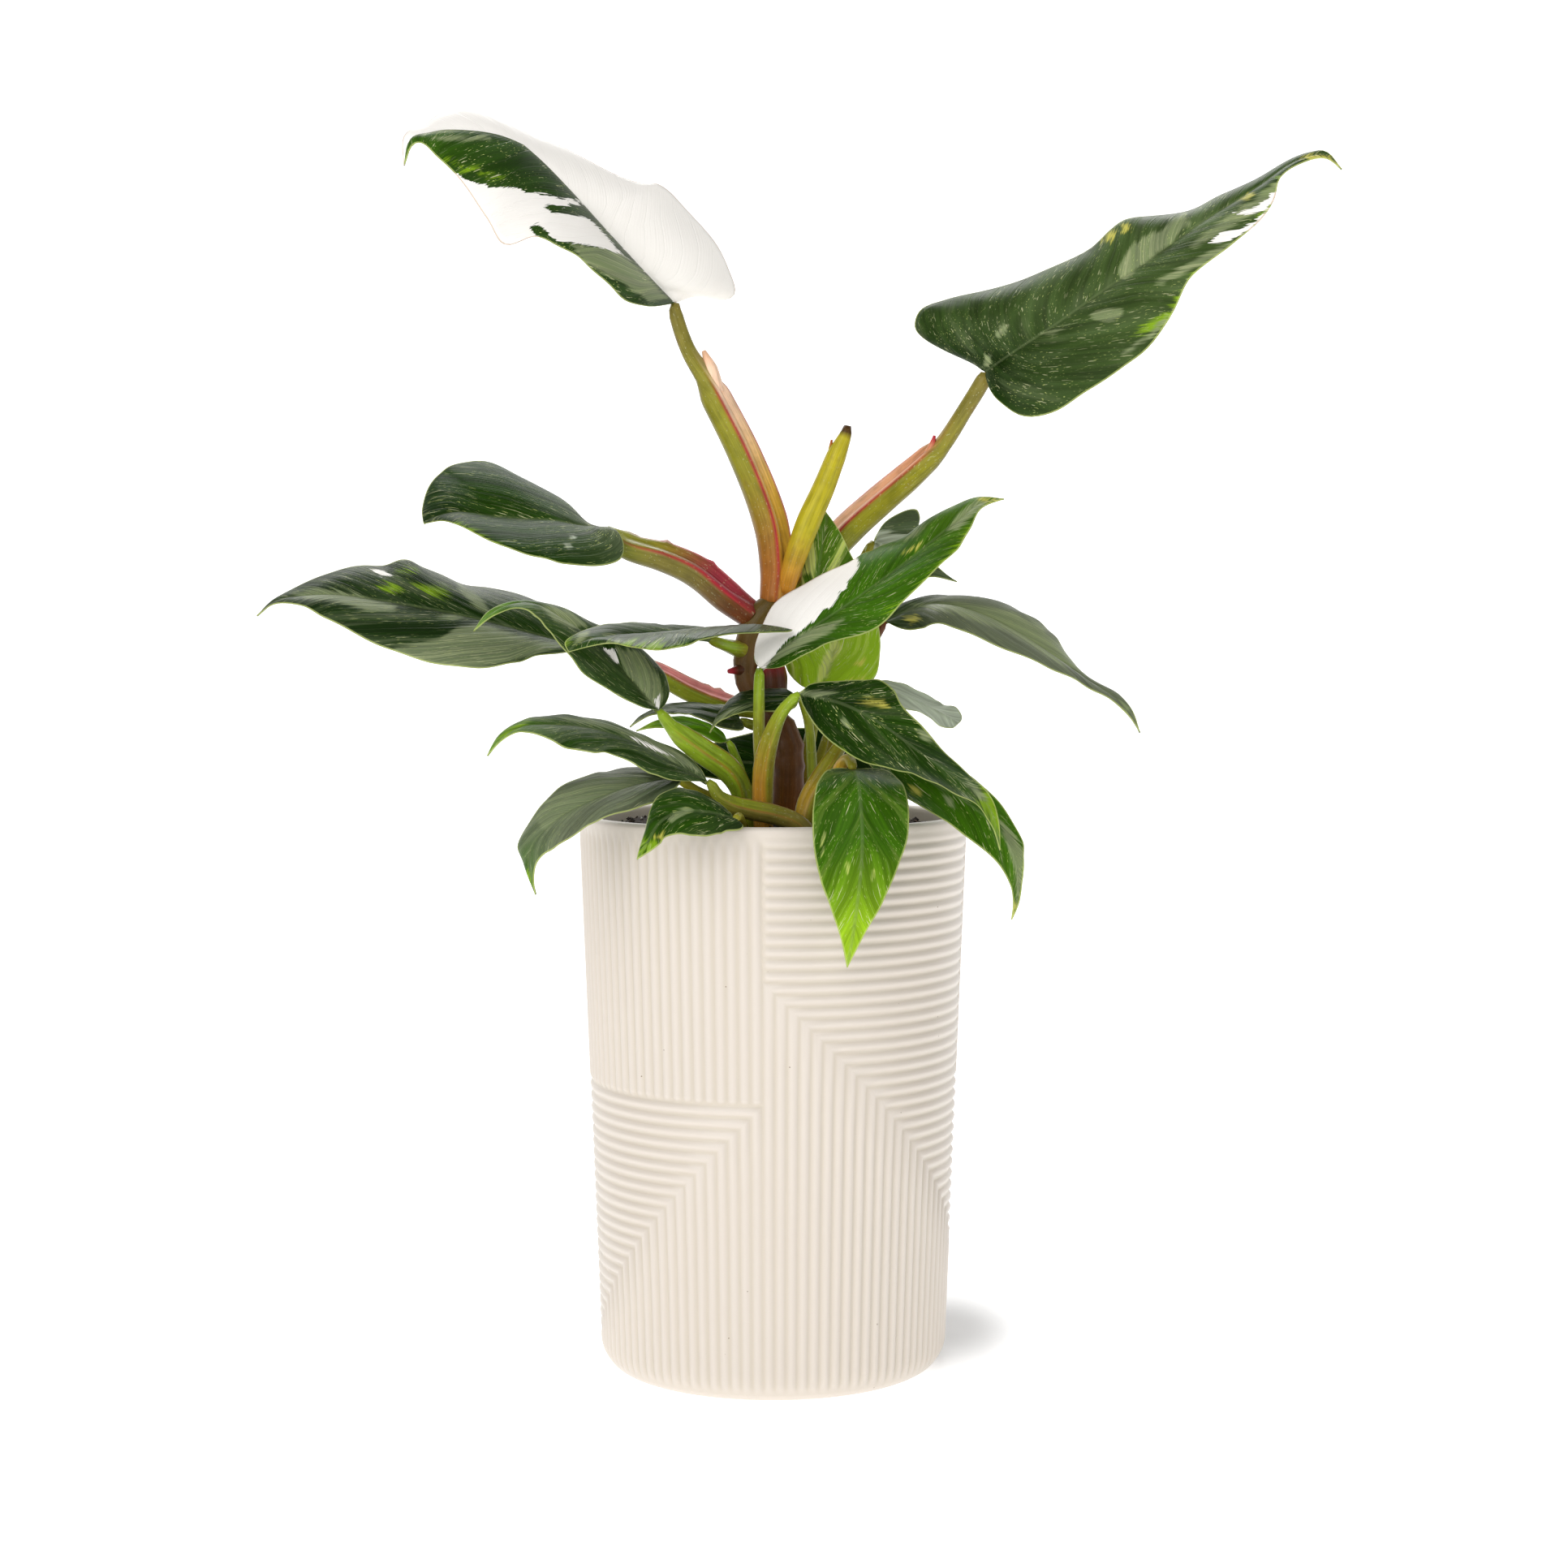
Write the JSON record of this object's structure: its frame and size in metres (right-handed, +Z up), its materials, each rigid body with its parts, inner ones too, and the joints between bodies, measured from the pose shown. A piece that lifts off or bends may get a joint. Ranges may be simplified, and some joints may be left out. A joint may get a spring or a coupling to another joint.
{
  "type": "potted variegated philodendron",
  "caption": "Upright variegated philodendron with white-splashed green leaves in a cream, finely ribbed ceramic pot.",
  "frame": {"origin": "centre of the pot's flat underside", "axes": "+Z up along the pot's axis; -Y towards the viewer of the picture, +X to the viewer's right"},
  "size_m": [0.3109, 0.1399, 0.3708],
  "materials": {
    "pot_glaze": "satin cream glaze",
    "soil": "moist dark potting mix",
    "stem": "brown-red bark, satin",
    "shoot": "waxy yellow sheath",
    "leaf": "satin dark green leaf with white and pale green variegation"
  },
  "bodies": {
    "root": {"pot": "pot_glaze", "soil": "soil", "main_stem": "stem", "new_shoot": "shoot", "leaf_top_left": "leaf", "leaf_top_right": "leaf", "leaf_mid_left": "leaf", "leaf_far_left": "leaf", "leaf_folded_left": "leaf", "leaf_edge_on": "leaf", "leaf_low_left": "leaf", "leaf_droop_left": "leaf", "leaf_over_rim": "leaf", "leaf_half_white": "leaf", "leaf_long_right": "leaf", "leaf_upright": "leaf", "leaf_front_right": "leaf", "leaf_under_right": "leaf", "leaf_front_hanging": "leaf", "leaf_behind_low_right": "leaf", "leaf_behind_high_right": "leaf", "leaf_dark_centre": "leaf", "leaf_dark_left": "leaf", "young_leaf_left": "leaf", "leaf_shaded_back": "leaf"}
  },
  "joints": []
}
